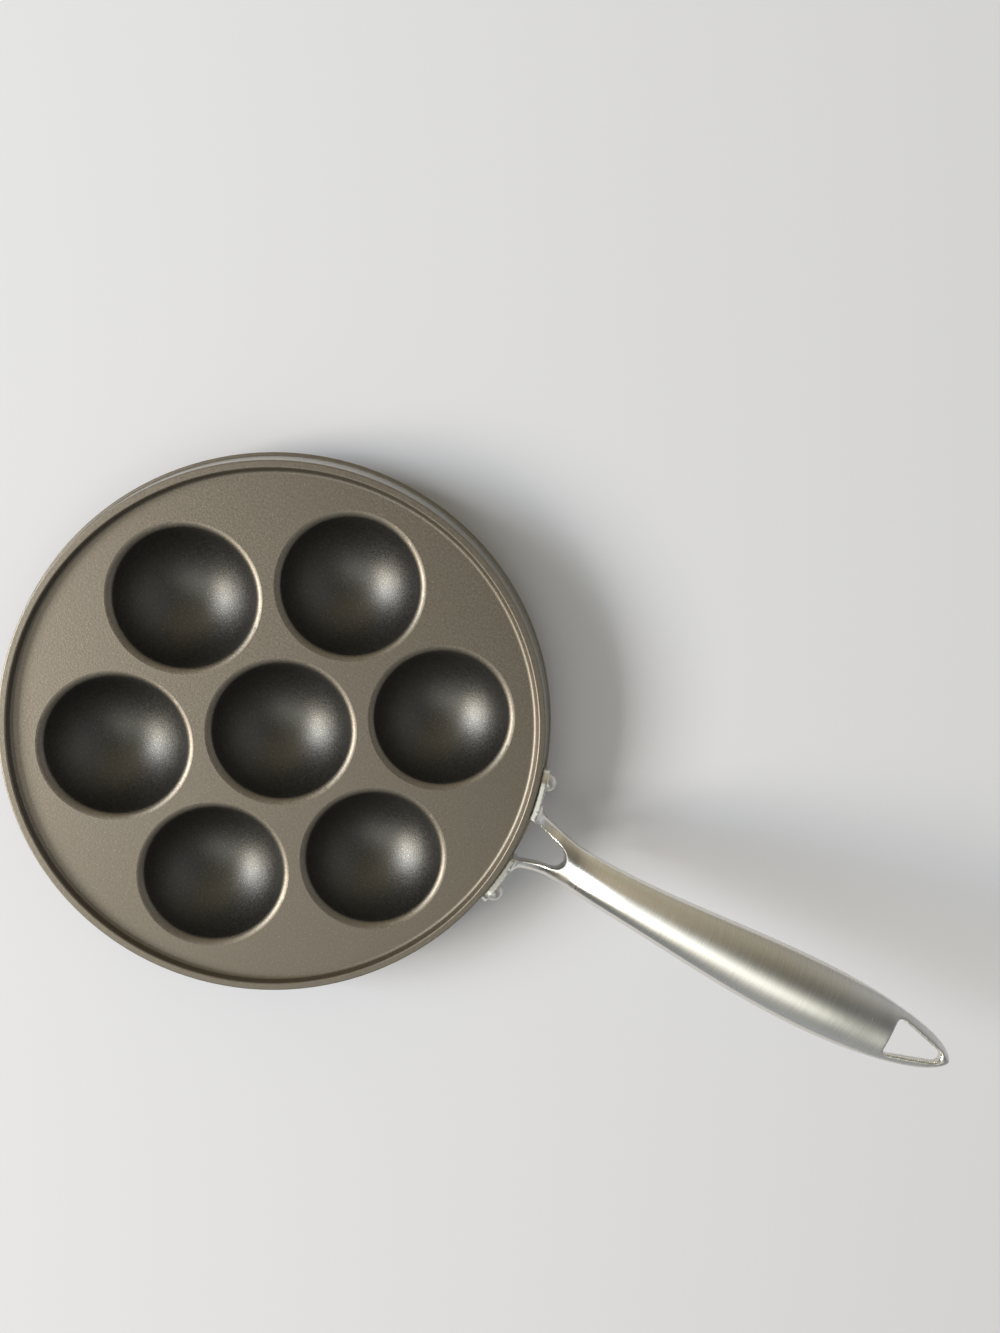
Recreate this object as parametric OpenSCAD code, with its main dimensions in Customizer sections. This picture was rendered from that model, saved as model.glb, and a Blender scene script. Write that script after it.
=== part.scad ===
// Aebleskiver pan: a one-piece cast pan with seven round wells, and a hollow steel handle
// riveted to its side. The pan stands on the flats of its cups at z = 0, its axis is Z, and
// the handle points along +X.

/* [Pan casting] */
// Diameter over the rim
pan_d = 228.6; // [224:0.2:250]
// Width of the rim's flat top
rim_w = 3.3; // [2:0.1:4]
// Height of the rim above the cooking field
rim_h = 3.7; // [2:0.1:6]
// Radius of the cove at the rim's foot, round the cooking field
cove_r = 1.6; // [0.8:0.1:2]
// Angle at which the outer wall flares downwards
wall_draft = 11.7; // [6:0.1:14]
// Height of the side wall, from the rim's top down to the foot bead
wall_h = 15.9; // [15.5:0.1:20]
// Wall thickness of the skirt
skirt_t = 3.4; // [2.5:0.1:4.5]
// How far the foot bead stands out from the wall
bead_out = 1.5; // [1:0.1:3]
// Height of the foot bead
bead_h = 4.6; // [3:0.1:6]
// Thickness of the plate between the wells
plate_t = 3; // [2:0.1:3.4]

/* [Wells] */
// Diameter of a well at the outside of its lip
well_d = 65.2; // [58:0.2:66]
// Depth of a well below the cooking field
well_depth = 28; // [25:0.5:30]
// Radius of the rounded lip
lip_r = 3.4; // [2:0.1:4]
// Distance between the centres of neighbouring wells
well_pitch = 69.1; // [68:0.1:72]
// Wells around the middle one
ring_wells = 6; // [5:1:6]
// Wall thickness of a cup
cup_t = 3.5; // [3:0.1:3.8]
// Thickness of a cup's floor over its flat foot
floor_t = 3; // [2:0.1:3.2]
// Radius of the fillet between a cup and the plate's underside
cup_fillet = 1.6; // [1:0.1:1.8]

/* [Handle] */
// Length from the feet's outer face to the tip
handle_len = 191.8; // [180:0.2:240]
// Rise of the handle's seam from the fork to the tip
handle_rise = 59; // [40:0.5:80]
// Width of the neck, the narrowest place
neck_w = 19.8; // [18:0.1:24]
// Distance of the neck from the feet
neck_at = 24.5; // [23:0.5:30]
// Width of the grip, the widest place
grip_w = 30.3; // [26:0.1:36]
// Distance of the widest place from the feet
grip_at = 126; // [110:1:140]
// Extra width of the fork at the feet, on each side
fork_flare = 5; // [3:0.1:6]
// Depth of the fork's arms at the feet
arm_h = 8.5; // [6:0.1:10]
// Height of the upper shell over the seam at the neck
neck_h = 6.4; // [5:0.1:8]
// Height of the upper shell over the seam at the grip
crown_h = 8; // [6:0.1:10]
// Depth of the lower shell under the seam at the grip
belly_h = 6.5; // [4:0.1:8]
// Sheet thickness of the upper shell
upper_t = 2; // [1.5:0.1:2.5]
// Sheet thickness of the lower shell
lower_t = 1.2; // [0.8:0.1:1.6]

/* [Fork and hanging hole] */
// Width of the fork's slot at the feet
slot_w = 18.8; // [16:0.1:20]
// Length of the slot from the feet to its round end
slot_len = 16.7; // [14:0.1:19]
// Radius of the slot's round end
slot_end_r = 5.5; // [3:0.1:6]
// Solid metal between the slot and the grip's hollow
slot_land = 6; // [4:0.5:10]
// Width of the hanging hole at its base
hole_w = 16.2; // [12:0.1:18]
// Length of the hanging hole
hole_len = 23.7; // [16:0.1:25]
// Metal left between the hole and the tip
tip_wall = 4.5; // [3:0.1:6]
// Width of the bevel around the hole
hole_bevel = 1.2; // [0.5:0.1:1.5]
// Solid metal between the hole and the grip's hollow
hole_land = 5; // [3:0.5:10]
// Height of the loop around the hole
loop_h = 5.3; // [4:0.1:7]

/* [Feet and rivets] */
// Thickness of a foot
foot_t = 3.2; // [2:0.1:4]
// Height of a foot
foot_h = 13; // [11:0.1:13.4]
// Angle of a rivet from the handle's line, seen from the pan's axis
rivet_at = 13.4; // [12.4:0.1:15]
// Depth of the rivets below the cooking field
rivet_drop = 6.6; // [6.2:0.1:7]
// Diameter of the rivet's shank
rivet_d = 4.8; // [4:0.1:5.5]
// Diameter of the domed outer head
dome_d = 8.6; // [7.5:0.1:10]
// Height of the domed outer head
dome_h = 4.2; // [2.5:0.1:5]
// Diameter of the flat inner head
tail_d = 7; // [6:0.1:7.4]
// Height of the flat inner head
tail_h = 1.6; // [1:0.1:2]
// Clearance of a rivet in its holes
rivet_clear = 0.05; // [0.02:0.01:0.15]
// Gap between a foot and the wall
foot_gap = 0.1; // [0.05:0.01:0.2]

/* [Hidden] */
$fn = 96;

field_z = well_depth + floor_t; // cooking field above the flats of the cups
rim_z = field_z + rim_h;
rim_r = pan_d / 2;
flare = tan(wall_draft);
edge_r = 0.7; // rounding of the casting's edges
over = 1; // how far a cutter passes the face that it cuts
sink = 0.03; // a fillet runs this far through its plane, so that it meets it cleanly

// The wells and cups are balls blended into a plane. A ball touches the fillet circle.
well_fillet = [well_d / 2, field_z - lip_r + sink];
well_deep = well_depth - lip_r + sink;
well_r = (pow(well_d / 2, 2) + well_deep * well_deep - lip_r * lip_r)
    / (2 * (well_deep + lip_r));
well_z = field_z - well_depth + well_r;
cup_r = well_r + cup_t;
cup_fillet_z = field_z - plate_t - cup_fillet + 2 * sink;
cup_fillet_x = sqrt(pow(cup_r + cup_fillet, 2) - pow(cup_fillet_z - well_z, 2));

// The outer wall is a cone.
function wall_r(z) = rim_r + (rim_z - z) * flare;
bead_top = rim_z - wall_h;
bead_r = wall_r(bead_top) + bead_out;
skirt_z = bead_top - bead_h;
skirt_run = skirt_t / cos(wall_draft); // thickness of the skirt along the radius

// The rivets stand square to the wall.
rivet_z = field_z - rivet_drop;
foot_run = foot_t / cos(wall_draft);
gap_run = foot_gap / cos(wall_draft);
seat_in = 0.12; // depth of the flat seat under a rivet's head
grip_out = foot_t + foot_gap - seat_in; // from the wall to the outer head's seat

// The handle is measured from the feet's outer face.
root_x = wall_r(rivet_z) + gap_run + foot_run;
hole_tip = handle_len - tip_wall;
hole_base = hole_tip - hole_len;
cavity_from = slot_len + slot_land;
cavity_to = hole_base - hole_land;
cavity_run = 9; // length over which the cavity deepens at each end
cavity_full = cavity_from + cavity_run;
cavity_ebb = cavity_to - cavity_run;
belly_in = (grip_at - cavity_from) * 0.62; // length over which the lower shell swells
belly_out = 30; // length over which it dies away
root_fillet = 3; // fillet between the fork's arms and the feet
ARC = 24; // facets across a shell

// Side view of the seam: share of the length, share of the rise
SIDE_LINE = [
    [-0.06, 0], [0.011, 0], [0.053, 0.051], [0.084, 0.157], [0.116, 0.273], [0.158, 0.373],
    [0.237, 0.499], [0.367, 0.65], [0.524, 0.782], [0.707, 0.887], [0.89, 0.962], [1.01, 1]
];

// Value of a smooth line through a list of points
function part_of(line, x, i = 0) =
    i >= len(line) - 2 || x < line[i + 1][0] ? i : part_of(line, x, i + 1);
function tangent(line, i) =
    let (a = line[max(i - 1, 0)], b = line[min(i + 1, len(line) - 1)])
    (b[1] - a[1]) / (b[0] - a[0]);
function value(line, x) =
    let (i = part_of(line, x), a = line[i], b = line[i + 1], h = b[0] - a[0], u = (x - a[0]) / h)
    a[1] * (1 + 2 * u) * pow(1 - u, 2) + b[1] * u * u * (3 - 2 * u)
    + h * tangent(line, i) * u * pow(1 - u, 2) + h * tangent(line, i + 1) * u * u * (u - 1);

function seam_z(s) = field_z - arm_h + handle_rise * value(SIDE_LINE, s / handle_len);

// Half the handle's width: parabola at the fork, cosine to the grip, ellipse to the tip
function root_curve(s) =
    s >= root_fillet ? 0 : root_fillet - sqrt(max(0, 2 * root_fillet * max(s, 0) - s * s));
function widening(s) = (1 - cos(180 * (s - neck_at) / (grip_at - neck_at))) / 2;
function to_tip(s) = max(0, s - grip_at) / (handle_len - grip_at);
function half_w(s) =
    s < neck_at ? neck_w / 2 + fork_flare * pow(1 - s / neck_at, 2) + root_curve(s)
    : s < grip_at ? neck_w / 2 + (grip_w - neck_w) / 2 * widening(s)
    : grip_w / 2 * sqrt(max(0, 1 - pow(to_tip(s), 2)));

// Height of the upper shell over the seam: distance from the feet, height
CROWN = [
    [-2 * foot_t, arm_h], [foot_t / 2, arm_h], [slot_len, neck_h], [1.4 * neck_at, neck_h],
    [0.8 * grip_at, crown_h], [1.04 * grip_at, crown_h], [hole_base, loop_h], [handle_len, loop_h]
];
tip_power = 0.15; // how suddenly the top falls off at the tip
function crown(s) = value(CROWN, s) * pow(max(0, 1 - pow(to_tip(s), 2)), tip_power);

// The cavity and the lower shell swell and die away at both ends.
function swelling(u) = u <= 0 ? 0 : sin(90 * min(1, u));
function cavity_h(s) =
    let (near_end = min(s - cavity_from, cavity_to - s))
    max(0, crown(s) - upper_t) * swelling(near_end / cavity_run);
function belly(s) =
    let (u = min((s - cavity_from) / belly_in, (cavity_to + lower_t - s) / belly_out))
    lower_t + (belly_h - lower_t) * swelling(u);

// Stations along the handle, closer where its outline turns sharply
function spread(a, b, n) = [for (i = [0:n - 1]) a + (b - a) * i / n];
ROOT = concat([-1.6 * foot_t], root_fillet * [0.01, 0.07, 0.2, 0.4, 0.67]);
FORK = spread(root_fillet, cavity_from, 10);
MIDDLE = spread(cavity_full, cavity_ebb, 22);
TIP_STEPS = 20;
TIP_FROM = asin(to_tip(cavity_to)); // angles on the tip's ellipse
TIP_TO = 88;
TIP = [
    for (i = [0:TIP_STEPS])
        grip_at + (handle_len - grip_at) * sin(TIP_FROM + (TIP_TO - TIP_FROM) * i / TIP_STEPS)
];
UPPER_STATIONS = concat(
    ROOT, FORK, spread(cavity_from, cavity_full, 4), MIDDLE, spread(cavity_ebb, cavity_to, 5), TIP
);
LOWER_STATIONS = concat(
    spread(cavity_from - lower_t, cavity_full, 5), MIDDLE,
    spread(cavity_ebb, cavity_to + lower_t, 5), [cavity_to + lower_t]
);

// Half an ellipse, from one edge to the other
function arch_points(w, h, n) = [for (k = [0:n]) let (a = 180 * k / n) [w * cos(a), h * sin(a)]];

// One section of a shell: the outer arch, then the hollow side inside its two edges. Both
// are [y, z] from the seam, and dir is 1 for the upper shell and -1 for the lower one.
function section(w, h, hollow, t, dir) =
    let (outer = arch_points(w, h, ARC), inner = arch_points(max(w - t, w * 0.6), hollow, ARC - 2))
    [for (p = concat(outer, [for (k = [ARC - 2:-1:0]) inner[k]])) [p[0], dir * p[1]]];

// Skin over sections with ARC + 1 outer and ARC - 1 inner points each
module shell(stations, sections, dir) {
    n = 2 * ARC;
    points = [
        for (i = [0:len(stations) - 1]) for (p = sections[i])
            [root_x + stations[i], p[0], seam_z(stations[i]) + p[1]]
    ];
    last = (len(stations) - 1) * n;
    sides = [
        for (i = [0:len(stations) - 2]) for (j = [0:n - 1])
            let (a = i * n + j, b = i * n + (j + 1) % n)
            each [[a, b, b + n], [a, b + n, a + n]]
    ];
    // An end is closed by strips between the outer arch and the hollow side.
    function end(o, k) = let (m = (n - k) % n)
        k == 0 ? [[o, o + n - 1, o + 1]]
        : k == ARC - 1 ? [[o + k, o + m, o + k + 1]]
        : [[o + k, o + m, o + m - 1], [o + k, o + m - 1, o + k + 1]];
    front = [for (k = [0:ARC - 1]) each end(0, k)];
    back = [for (k = [0:ARC - 1]) each [for (f = end(last, k)) [f[0], f[2], f[1]]]];
    all = concat(sides, front, back);
    polyhedron(points, dir > 0 ? [for (f = all) [f[0], f[2], f[1]]] : all);
}

// Half of a ball's outline blended by a fillet into a plane, from low up to top
module bowl_profile(r, z, fillet, fillet_r, low, top) {
    share = r / (r + fillet_r);
    meet = [fillet[0] * share, z + (fillet[1] - z) * share];
    intersection() {
        translate([0, z]) circle(r);
        translate([0, low]) square([r + over, meet[1] - low]);
    }
    difference() {
        polygon([[0, meet[1]], meet, [fillet[0], fillet[1] + fillet_r], [fillet[0], top], [0, top]]);
        translate(fillet) circle(fillet_r);
    }
}

module each_well() {
    children();
    for (i = [0:ring_wells - 1]) rotate([0, 0, (i + 0.5) * 360 / ring_wells])
        translate([well_pitch, 0, 0]) children();
}

// Points of a rounded corner between two directions, around a centre
function corner(c, r, from, to) =
    [for (i = [0:6]) let (a = from + (to - from) * i / 6) c + r * [cos(a), sin(a)]];

// Section of the plate, rim, wall, foot bead and skirt, from the axis outwards
module body_profile() {
    inner_r = rim_r - rim_w;
    cove_end = inner_r - (rim_h - cove_r) * flare - cove_r / cos(wall_draft);
    under_z = field_z - plate_t;
    inside_r = wall_r(under_z) - skirt_run;
    polygon(concat(
        [[0, field_z]],
        corner([cove_end, field_z + cove_r], cove_r, -90, -wall_draft),
        corner([inner_r + edge_r, rim_z - edge_r], edge_r, 180 - wall_draft, 90),
        corner([rim_r - edge_r, rim_z - edge_r], edge_r, 90, wall_draft),
        corner([wall_r(bead_top) + edge_r, bead_top + edge_r], edge_r, 180 + wall_draft, 270),
        corner([bead_r - edge_r, bead_top - edge_r], edge_r, 90, wall_draft),
        corner([bead_r - edge_r, skirt_z + edge_r], edge_r, 0, -90),
        [[wall_r(skirt_z) - skirt_run, skirt_z], [inside_r, under_z - cup_fillet],
        [inside_r - cup_fillet, under_z], [0, under_z]]
    ));
}

// Frame of one rivet: Z out of the wall and square to it, origin on the wall
module at_rivet(side) {
    rotate([0, 0, side * rivet_at]) translate([wall_r(rivet_z), 0, rivet_z])
        rotate([0, 90 - wall_draft, 0]) children();
}

// Hole for a shank, with flat seats for the two heads
module rivet_hole(side) {
    head_clear = 4 * rivet_clear;
    at_rivet(side) {
        translate([0, 0, -skirt_t - over])
            cylinder(h = skirt_t + grip_out + 2 * over, d = rivet_d + 2 * rivet_clear);
        translate([0, 0, grip_out]) cylinder(h = dome_h, d = dome_d + head_clear);
        translate([0, 0, -skirt_t - tail_h]) cylinder(h = tail_h, d = tail_d + head_clear);
    }
}

module pan_casting() {
    color("#5d5851") difference() {
        union() {
            rotate_extrude() body_profile();
            each_well() rotate_extrude()
                bowl_profile(
                    cup_r, well_z, [cup_fillet_x, cup_fillet_z], cup_fillet, 0, field_z - plate_t / 2
                );
        }
        each_well() rotate_extrude()
            bowl_profile(well_r, well_z, well_fillet, lip_r, well_z - well_r - over, field_z + over);
        for (side = [-1, 1]) rivet_hole(side);
    }
}

// Plan of the fork's slot: straight sides that touch a round end
module slot_outline() {
    reach = slot_len - slot_end_r;
    a = asin((slot_w / 2 - slot_end_r) / reach);
    touch = [reach + slot_end_r * sin(a), slot_end_r * cos(a)];
    behind = -3 * foot_t;
    translate([root_x, 0]) {
        polygon([
            [behind, slot_w / 2], [0, slot_w / 2], touch,
            [touch[0], -touch[1]], [0, -slot_w / 2], [behind, -slot_w / 2]
        ]);
        translate([reach, 0]) circle(slot_end_r);
    }
}

// Plan of the hanging hole, a triangle with rounded corners that points at the tip
module hole_outline(grow) {
    base_r = 1.8;
    point_r = 2.6;
    hull() {
        for (side = [-1, 1]) translate([hole_base + base_r, side * (hole_w / 2 - base_r)])
            circle(base_r + grow, $fn = 32);
        translate([hole_tip - point_r, 0]) circle(point_r + grow, $fn = 32);
    }
}

// The hole stands square to the seam. Its bevel starts where the arch has fallen off beside it.
module hanging_hole() {
    s = (hole_base + hole_tip) / 2;
    slope = atan((seam_z(hole_tip) - seam_z(hole_base)) / hole_len);
    bevel_z = crown(s) - hole_bevel - 0.7;
    film = 0.01;
    translate([root_x + s, 0, seam_z(s)]) rotate([0, -slope, 0]) translate([-s, 0, 0]) {
        translate([0, 0, -belly_h]) linear_extrude(belly_h + 2 * crown_h) hole_outline(0);
        hull() {
            translate([0, 0, bevel_z]) linear_extrude(film) hole_outline(0);
            translate([hole_bevel / 2, 0, crown(s) + over]) linear_extrude(film)
                hole_outline(1.2 * hole_bevel);
        }
    }
}

// A foot follows the wall. It is round about its rivet and runs to the slot.
module foot(side) {
    low = rivet_z - foot_h;
    high = rivet_z + foot_h;
    inner_low = wall_r(low) + gap_run;
    inner_high = wall_r(high) + gap_run;
    run = root_x * sin(rivet_at);
    intersection() {
        rotate_extrude() polygon([
            [inner_low, low], [inner_low + foot_run, low],
            [inner_high + foot_run, high], [inner_high, high]
        ]);
        at_rivet(side) translate([0, 0, -foot_t]) linear_extrude(3 * foot_t) {
            circle(d = foot_h);
            translate([-foot_h / 2, side > 0 ? -run : 0]) square([foot_h, run]);
        }
    }
}

// Cone through the middle of the feet's thickness, where the fork's arms end
module arm_end() {
    top = 3 * field_z;
    middle = gap_run + foot_run / 2;
    cylinder(h = top, r1 = wall_r(0) + middle, r2 = wall_r(top) + middle);
}

module handle_upper_shell() {
    sections = [
        for (s = UPPER_STATIONS) section(half_w(s), crown(s), cavity_h(s), upper_t, 1)
    ];
    color("#c4c3bf") difference() {
        union() {
            difference() {
                shell(UPPER_STATIONS, sections, 1);
                arm_end();
            }
            for (side = [-1, 1]) foot(side);
        }
        linear_extrude(4 * field_z) slot_outline();
        hanging_hole();
        for (side = [-1, 1]) rivet_hole(side);
    }
}

module handle_lower_shell() {
    sections = [
        for (s = LOWER_STATIONS) section(half_w(s), belly(s), max(0, belly(s) - lower_t), lower_t, -1)
    ];
    color("#b4b3af") shell(LOWER_STATIONS, sections, -1);
}

// Solid rivet: domed head outside, shank, and a flat head inside the skirt
module rivet(side) {
    rim = 0.6; // straight edge of the dome
    dome_r = (pow(dome_d / 2, 2) + pow(dome_h - rim, 2)) / (2 * (dome_h - rim));
    color("#cfcdc6") at_rivet(side) rotate_extrude() {
        translate([0, -skirt_t - tail_h]) square([tail_d / 2, tail_h]);
        translate([0, -skirt_t - tail_h / 2]) square([rivet_d / 2, skirt_t + grip_out + tail_h]);
        translate([0, grip_out]) square([dome_d / 2, rim]);
        intersection() {
            translate([0, grip_out + dome_h - dome_r]) circle(dome_r);
            translate([0, grip_out + rim]) square([dome_d, dome_h]);
        }
    }
}

pan_casting();
handle_upper_shell();
handle_lower_shell();
rivet(1);  // rivet_left
rivet(-1);  // rivet_right
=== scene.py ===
"""Looks of the aebleskiver pan: coated casting, brushed steel handle, rivets and a pale floor."""

import bmesh
import bpy
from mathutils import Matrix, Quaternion, Vector


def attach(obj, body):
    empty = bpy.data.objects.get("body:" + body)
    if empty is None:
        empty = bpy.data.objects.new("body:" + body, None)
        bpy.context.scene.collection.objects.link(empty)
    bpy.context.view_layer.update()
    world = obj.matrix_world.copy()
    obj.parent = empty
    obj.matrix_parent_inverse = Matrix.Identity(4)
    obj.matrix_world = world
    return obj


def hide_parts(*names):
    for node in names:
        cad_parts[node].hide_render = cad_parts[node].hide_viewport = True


MM = 0.001

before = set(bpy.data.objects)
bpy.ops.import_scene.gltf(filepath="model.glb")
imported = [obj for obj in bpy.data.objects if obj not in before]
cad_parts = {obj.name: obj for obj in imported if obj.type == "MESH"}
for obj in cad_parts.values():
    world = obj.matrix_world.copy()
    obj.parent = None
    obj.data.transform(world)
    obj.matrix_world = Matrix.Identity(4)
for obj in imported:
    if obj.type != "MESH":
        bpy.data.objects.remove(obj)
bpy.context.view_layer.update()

# Places that the part's source gives, in millimetres in the frame
FIELD_Z = 31
WELL_REACH = 102  # farthest from the axis that a well's lip goes
RIM_Z = 34.7
WALL_REACH = 112.5  # nearest to the axis that the side wall's outer face comes
BEAD_TOP_Z = 18.8
GRIP_FROM, GRIP_TO = 138, 280  # along the handle: the slot's end and the hanging hole's edge

# Where colour and gloss change on the way down, in millimetres
WELL_SHADE_AND_GLOSS_BELOW_FIELD = (1.5, 2.6)  # depths between which the wells' painted shade and slicker gloss set in
WALL_BELOW_RIM = (0.7, 1.2)  # depths between which the side wall's smooth coat sets in
WALL_OVER_BEAD = 0.5  # height in which it fades out again

NOISE_SPAN = {"From Min": 0.3, "From Max": 0.7}  # values that a noise takes nearly everywhere

# Making of the handle's skin, lengths in millimetres
WELD_VOXEL = 0.44
EDGE_PASSES, GRIP_PASSES = 12, 150  # smoothing of every edge, and of the grip's top alone
GRIP_FADE = 8  # length over which the grip's smoothing sets in
GRIP_TILT = (0.35, 0.25)  # upward part of the normal at which it sets in, and how far it rises

# The camera stood over the pan, a little towards the far side, as fitted to the photograph.
CAMERA_AT = Vector((11.44, 89.41, 440.07)) * MM
CAMERA_TURN = Quaternion((0.971569, -0.044231, -0.065897, 0.22306))
PICTURE = (1000, 1333)
FOCAL_PIXELS = 950
LEFT = Vector((-0.906, -0.424, 0))  # the picture's left, along the floor
UP = Vector((-0.424, 0.906, 0))  # the picture's top, along the floor
RISE = Vector((0, 0, 1))

# Stage, in metres
FLOOR_HALF = 1.8
LAMP_AIM = Vector((0.05, 0, 0))
WINDOW_SIZE = (1.2, 1.28)
WINDOW_WATTS = 84.5

# Light of the room, as soft round patches on the world: which way, how narrow, colour, strength.
# The ways and widths were chosen. Colours and strengths began as a least-squares fit of
# renders with one light each to the photograph's brightness; all strengths and two colours were
# then changed.
ROOM = [
    (-1 * LEFT + 0.15 * RISE, 4, "#eef2fb", 0.68),
    (UP + 0.15 * RISE, 4, "#fff6db", 0.54),
    (-1 * UP + 0.15 * RISE, 4, "#f4fbff", 0.43),
    (0.54 * LEFT - 0.54 * UP + RISE, 8, "#fafff5", 0.35),
    (0.54 * LEFT + 0.54 * UP + RISE, 8, "#fff1d6", 0.5),
    (-0.54 * LEFT + 0.54 * UP + RISE, 8, "#fff8d7", 0.18),
    (0.44 * LEFT - 0.25 * UP + RISE, 40, "#faffff", 1.19),
    (0.11 * LEFT - 0.49 * UP + RISE, 40, "#fffff8", 0.95),
    (-0.21 * LEFT - 0.58 * UP + RISE, 40, "#fdfff3", 0.6),
    (0.79 * LEFT - 0.64 * UP + RISE, 40, "#fffdf1", 0.3),
]


def linear(hex_colour):
    """sRGB hex value as linear RGBA."""
    channels = [int(hex_colour[i : i + 2], 16) / 255 for i in (1, 3, 5)]
    return [c / 12.92 if c <= 0.04045 else ((c + 0.055) / 1.055) ** 2.4 for c in channels] + [1]


def add(tree, kind, inputs=None, **settings):
    """Adds a node with its settings. An input is a value, or a socket that is linked to it."""
    made = tree.nodes.new("ShaderNode" + kind)
    for name, value in settings.items():
        setattr(made, name, value)
    for name, value in (inputs or {}).items():
        if isinstance(value, bpy.types.NodeSocket):
            tree.links.new(value, made.inputs[name])
        else:
            made.inputs[name].default_value = value
    return made


def with_stops(ramp_node, *stops):
    """Gives a ramp node its places and hex colours, and returns its colour output."""
    for element, (place, hex_colour) in zip(ramp_node.color_ramp.elements, stops):
        element.position, element.color = place, linear(hex_colour)
    return ramp_node.outputs["Color"]


def new_material(name):
    material = bpy.data.materials.new(name)
    material.use_nodes = True
    tree = material.node_tree
    tree.nodes.clear()
    return material, tree


def per_metre(size_mm):
    """Texture scale at which one repeat is this long."""
    return 1 / (size_mm * MM)


def nonstick_coating():
    """Non-stick resin coating with fine mica, sprayed on grit-blasted cast aluminium: a satin
    taupe on the field and rim, slicker in the wells and painted darker there as painted shade,
    smoother and paler down the side wall. The mica lies flat, so that the coat shines as metal
    does, with a fine sparkle."""
    material, tree = new_material("nonstick_coating")
    place = add(tree, "TexCoord").outputs["Object"]

    # Where the wells and the side wall are
    xyz = add(tree, "SeparateXYZ", {"Vector": place}).outputs
    flat = add(tree, "CombineXYZ", {"X": xyz["X"], "Y": xyz["Y"]}).outputs[0]
    reach = add(tree, "VectorMath", {0: flat}, operation="LENGTH").outputs["Value"]
    shade_and_gloss_from, shade_and_gloss_to = [(FIELD_Z - depth) * MM for depth in WELL_SHADE_AND_GLOSS_BELOW_FIELD]
    below = add(
        tree, "MapRange", {"Value": xyz["Z"], "From Min": shade_and_gloss_from, "From Max": shade_and_gloss_to},
        interpolation_type="SMOOTHSTEP",
    ).outputs["Result"]
    inside = add(tree, "Math", {0: reach, 1: WELL_REACH * MM}, operation="LESS_THAN").outputs[0]
    well = add(tree, "Math", {0: below, 1: inside}, operation="MULTIPLY").outputs[0]
    outside = add(tree, "Math", {0: reach, 1: WALL_REACH * MM}, operation="GREATER_THAN").outputs[0]
    bead_from, bead_to = BEAD_TOP_Z * MM, (BEAD_TOP_Z + WALL_OVER_BEAD) * MM
    over_bead = add(
        tree, "MapRange",
        {"Value": xyz["Z"], "From Min": bead_from, "From Max": bead_to, "To Max": outside},
    ).outputs["Result"]
    wall_from, wall_to = [(RIM_Z - depth) * MM for depth in WALL_BELOW_RIM]
    wall = add(
        tree, "MapRange",
        {"Value": xyz["Z"], "From Min": wall_from, "From Max": wall_to, "To Max": over_bead},
    ).outputs["Result"]

    # The real grit and mica are about 0.2 mm; these are 1 mm with finer parts, so that they show.
    grit = add(
        tree, "TexNoise", {"Vector": place, "Scale": per_metre(1), "Detail": 3, "Roughness": 0.75}
    ).outputs["Fac"]
    cloud = add(
        tree, "TexNoise", {"Vector": place, "Scale": per_metre(40), "Detail": 2}
    ).outputs["Fac"]
    mica = add(tree, "TexVoronoi", {"Vector": place, "Scale": per_metre(1.1)}).outputs["Distance"]
    sparkle = add(
        tree, "MapRange", {"Value": mica, "From Min": 0.2, "From Max": 0.04}
    ).outputs["Result"]

    field = with_stops(add(tree, "ValToRGB", {"Fac": grit}), (0.35, "#7e766b"), (0.68, "#968c7f"))
    # Painted shade: the wells' darker colour stands in for the shade that falls in these hollows.
    painted_well_shade = with_stops(add(tree, "ValToRGB", {"Fac": grit}), (0.3, "#64625e"), (0.7, "#75736f"))
    colour = field
    for share, over in (
        (cloud, linear("#888175")),
        (well, painted_well_shade),
        (sparkle, linear("#aea797")),
        (wall, linear("#aaa59c")),
    ):
        colour = add(
            tree, "Mix", {"Factor": share, "A": colour, "B": over}, data_type="RGBA"
        ).outputs["Result"]

    field_gloss, well_gloss, wall_gloss = [
        add(
            tree, "MapRange", {"Value": grit, **NOISE_SPAN, "To Min": low, "To Max": high}
        ).outputs["Result"]
        for low, high in ((0.43, 0.54), (0.37, 0.52), (0.26, 0.34))
    ]
    roughness = field_gloss
    for share, over in ((well, well_gloss), (wall, wall_gloss)):
        roughness = add(
            tree, "Mix", {"Factor": share, "A": roughness, "B": over}, data_type="FLOAT"
        ).outputs["Result"]
    grain = add(
        tree, "Bump", {"Strength": 0.8, "Distance": 0.1 * MM, "Height": grit}
    ).outputs["Normal"]
    shader = add(
        tree, "BsdfPrincipled",
        {"Base Color": colour, "Roughness": roughness, "Metallic": 1, "Normal": grain},
    )
    add(tree, "OutputMaterial", {"Surface": shader.outputs[0]})
    return material


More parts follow.
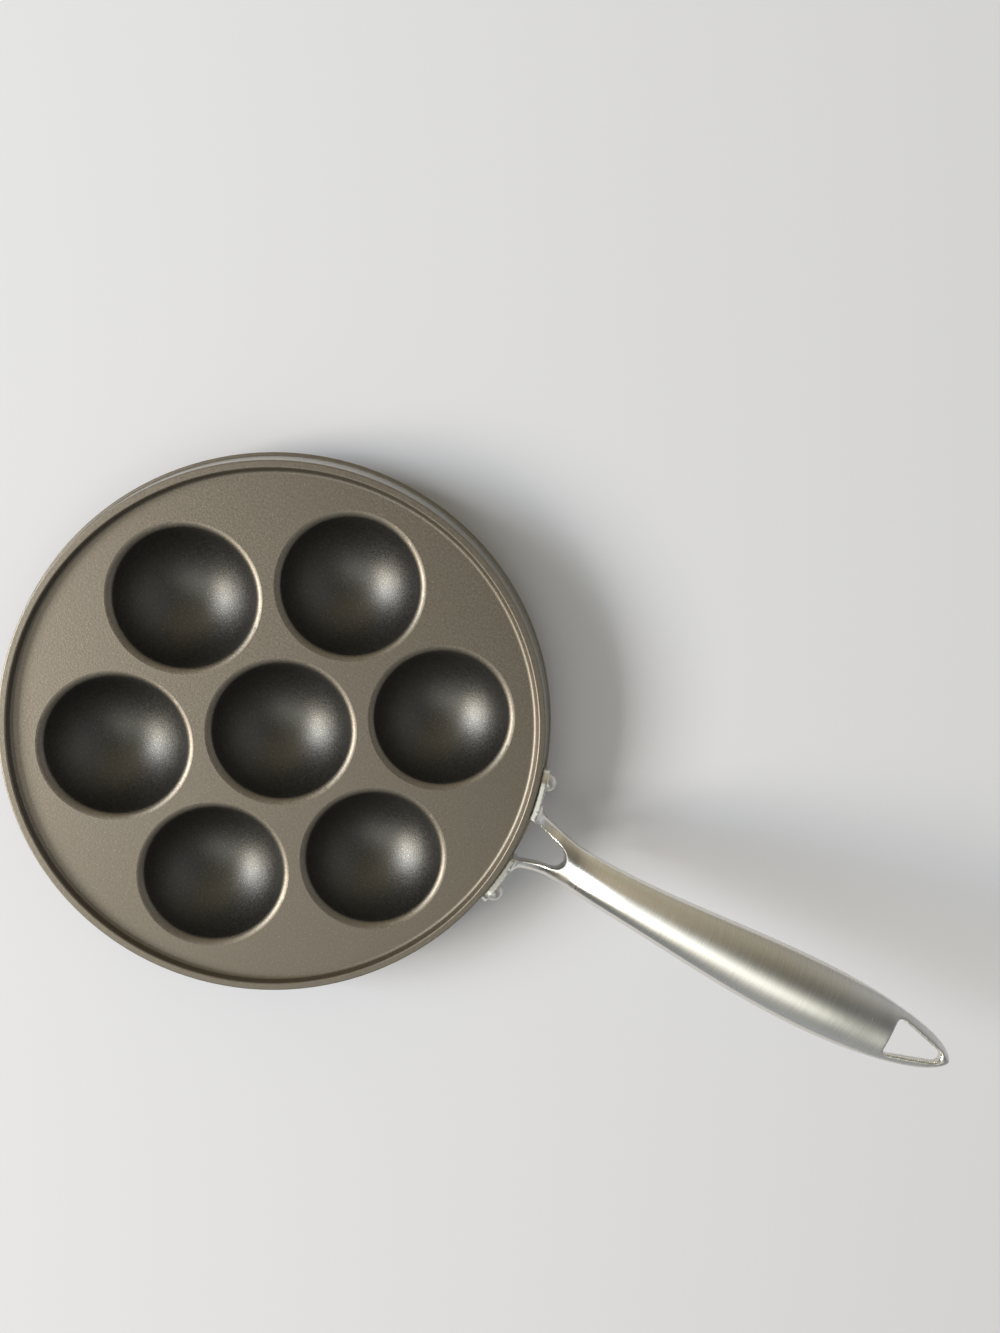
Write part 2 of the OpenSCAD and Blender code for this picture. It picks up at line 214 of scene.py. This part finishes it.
def brushed_steel():
    """Stainless steel brushed around the handle: fine lines across the grip, which draw each
    highlight out into one long streak towards the hanging hole."""
    material, tree = new_material("brushed_stainless_steel")
    place = add(tree, "TexCoord").outputs["Object"]
    # The real lines are about 0.05 mm apart; these are 0.4 mm, so that they show.
    stretched = add(
        tree, "Mapping",
        {"Vector": place, "Scale": (per_metre(0.4), per_metre(12), per_metre(12))},
    ).outputs[0]
    lines = add(
        tree, "TexNoise", {"Vector": stretched, "Scale": 1, "Detail": 4, "Roughness": 0.7}
    ).outputs["Fac"]
    cloud = add(
        tree, "TexNoise", {"Vector": place, "Scale": per_metre(25), "Detail": 3}
    ).outputs["Fac"]
    tone = with_stops(add(tree, "ValToRGB", {"Fac": lines}), (0.3, "#ddd9d2"), (0.7, "#e9e6df"))
    rough_lines, handled = [
        add(
            tree, "MapRange", {"Value": value, **NOISE_SPAN, "To Min": low, "To Max": high}
        ).outputs["Result"]
        for value, low, high in ((lines, 0.235, 0.275), (cloud, -0.01, 0.02))
    ]
    roughness = add(tree, "Math", {0: rough_lines, 1: handled}, operation="ADD").outputs[0]
    grain = add(
        tree, "Bump", {"Strength": 0.05, "Distance": 0.01 * MM, "Height": lines}
    ).outputs["Normal"]
    # Along the lines; the quarter turn in the shader lays the longer gloss across them.
    facing = add(tree, "TexCoord").outputs["Normal"]
    across = add(
        tree, "VectorMath", {0: facing, 1: (1, 0, 0)}, operation="CROSS_PRODUCT"
    ).outputs[0]
    shader = add(
        tree, "BsdfPrincipled",
        {
            "Base Color": tone, "Metallic": 1, "Roughness": roughness, "Normal": grain,
            "Anisotropic": 0.8, "Anisotropic Rotation": 0.25, "Tangent": across,
        },
    )
    add(tree, "OutputMaterial", {"Surface": shader.outputs[0]})
    return material


def tumbled_rivet_metal():
    """Aluminium rivets, tumbled and upset cold: pale, softly dented and satin."""
    material, tree = new_material("tumbled_rivet_metal")
    place = add(tree, "TexCoord").outputs["Object"]
    dents = add(
        tree, "TexNoise", {"Vector": place, "Scale": per_metre(1.2), "Detail": 2}
    ).outputs["Fac"]
    tone = with_stops(add(tree, "ValToRGB", {"Fac": dents}), (0, "#c2bfb7"), (1, "#e9e6df"))
    roughness = add(
        tree, "MapRange", {"Value": dents, **NOISE_SPAN, "To Min": 0.3, "To Max": 0.42}
    ).outputs["Result"]
    relief = add(
        tree, "Bump", {"Strength": 0.3, "Distance": 0.05 * MM, "Height": dents}
    ).outputs["Normal"]
    shader = add(
        tree, "BsdfPrincipled",
        {"Base Color": tone, "Metallic": 1, "Roughness": roughness, "Normal": relief},
    )
    add(tree, "OutputMaterial", {"Surface": shader.outputs[0]})
    return material


def pale_floor():
    """Matte white board."""
    material, tree = new_material("pale_floor_board")
    shader = add(tree, "BsdfPrincipled", {"Base Color": linear("#dcdce0"), "Roughness": 0.9})
    add(tree, "OutputMaterial", {"Surface": shader.outputs[0]})
    return material


def finish_node(node, material):
    node.data.materials.clear()
    node.data.materials.append(material)


def soft_step(place, start, length):
    """0 up to the start and 1 past the length after it, with soft ends."""
    part = min(max((place - start) / length, 0), 1)
    return part * part * (3 - 2 * part)


def grip_top_share(vertex):
    """How far a vertex of the handle belongs to the top of the grip, from 0 to 1."""
    along = vertex.co.x / MM
    ends = soft_step(along, GRIP_FROM, GRIP_FADE) * soft_step(-along, -GRIP_TO, GRIP_FADE)
    return ends * soft_step(vertex.normal.z, *GRIP_TILT)


def polished_handle(material):
    """The two shells of the handle as one skin: welded along the seam, then ground and brushed,
    so that the seam is gone, every edge is rounded and the grip's top is even."""
    joined = bmesh.new()
    for name in ("handle_upper_shell", "handle_lower_shell"):
        joined.from_mesh(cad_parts[name].data)
    mesh = bpy.data.meshes.new("polished_handle")
    joined.to_mesh(mesh)
    joined.free()
    handle = bpy.data.objects.new("polished_handle", mesh)
    bpy.context.scene.collection.objects.link(handle)

    weld = handle.modifiers.new("weld_and_grind", "REMESH")
    weld.mode = "VOXEL"
    weld.voxel_size = WELD_VOXEL * MM
    weld.use_smooth_shade = True
    welded = handle.evaluated_get(bpy.context.evaluated_depsgraph_get())
    skin = bpy.data.meshes.new_from_object(welded)
    handle.modifiers.clear()
    handle.data = skin

    grip = handle.vertex_groups.new(name="grip_top")
    for vertex in skin.vertices:
        share = grip_top_share(vertex)
        if share > 0:
            grip.add([vertex.index], share, "REPLACE")
    for name, passes, group in (
        ("rounded_edges", EDGE_PASSES, ""),
        ("even_grip_top", GRIP_PASSES, grip.name),
    ):
        ease = handle.modifiers.new(name, "SMOOTH")
        ease.factor = 0.5
        ease.iterations = passes
        ease.vertex_group = group

    skin.materials.append(material)
    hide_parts("handle_upper_shell", "handle_lower_shell")
    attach(handle, "root")


def add_floor(material):
    half = FLOOR_HALF
    corners = [(-half, -half, 0), (half, -half, 0), (half, half, 0), (-half, half, 0)]
    mesh = bpy.data.meshes.new("floor")
    mesh.from_pydata(corners, [], [(0, 1, 2, 3)])
    mesh.materials.append(material)
    floor = bpy.data.objects.new("floor", mesh)
    bpy.context.scene.collection.objects.link(floor)


def add_window(name, at, colour):
    data = bpy.data.lights.new(name, "AREA")
    data.shape = "RECTANGLE"
    data.size, data.size_y = WINDOW_SIZE
    data.energy = WINDOW_WATTS
    data.color = linear(colour)[:3]
    lamp = bpy.data.objects.new(name, data)
    lamp.location = at
    lamp.rotation_mode = "QUATERNION"
    lamp.rotation_quaternion = (at - LAMP_AIM).to_track_quat("Z", "Y")
    bpy.context.scene.collection.objects.link(lamp)


def add_light():
    add_window("window_warm", 2.99 * LEFT - 0.67 * UP + 1.84 * RISE, "#fff7ec")
    add_window("window_cool", 2.99 * LEFT + 0.42 * UP + 1.84 * RISE, "#f0f8ff")
    world = bpy.data.worlds.new("room_light")
    world.use_nodes = True
    tree = world.node_tree
    ahead = add(tree, "TexCoord").outputs["Generated"]
    total = Vector((0, 0, 0))
    for way, narrow, colour, strength in ROOM:
        near = add(
            tree, "VectorMath", {0: ahead, 1: way.normalized()}, operation="DOT_PRODUCT"
        ).outputs["Value"]
        near = add(tree, "Math", {0: near, 1: 0}, operation="MAXIMUM").outputs[0]
        patch = add(tree, "Math", {0: near, 1: narrow}, operation="POWER").outputs[0]
        glow = Vector(linear(colour)[:3]) * strength
        total = add(
            tree, "VectorMath", {0: glow, 1: patch, 2: total}, operation="MULTIPLY_ADD"
        ).outputs[0]
    tree.links.new(total, tree.nodes["Background"].inputs["Color"])
    bpy.context.scene.world = world


def add_camera():
    data = bpy.data.cameras.new("camera")
    data.sensor_width = 36
    data.lens = data.sensor_width * FOCAL_PIXELS / PICTURE[1]
    data.clip_start = 0.01
    camera = bpy.data.objects.new("camera", data)
    camera.location = CAMERA_AT
    camera.rotation_mode = "QUATERNION"
    camera.rotation_quaternion = CAMERA_TURN
    bpy.context.scene.collection.objects.link(camera)
    bpy.context.scene.camera = camera


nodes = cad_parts
finish_node(nodes["pan_casting"], nonstick_coating())
rivet_metal = tumbled_rivet_metal()
for rivet in ("rivet_left", "rivet_right"):
    finish_node(nodes[rivet], rivet_metal)
polished_handle(brushed_steel())
add_floor(pale_floor())
add_light()
add_camera()
bpy.context.scene.view_settings.view_transform = "Standard"
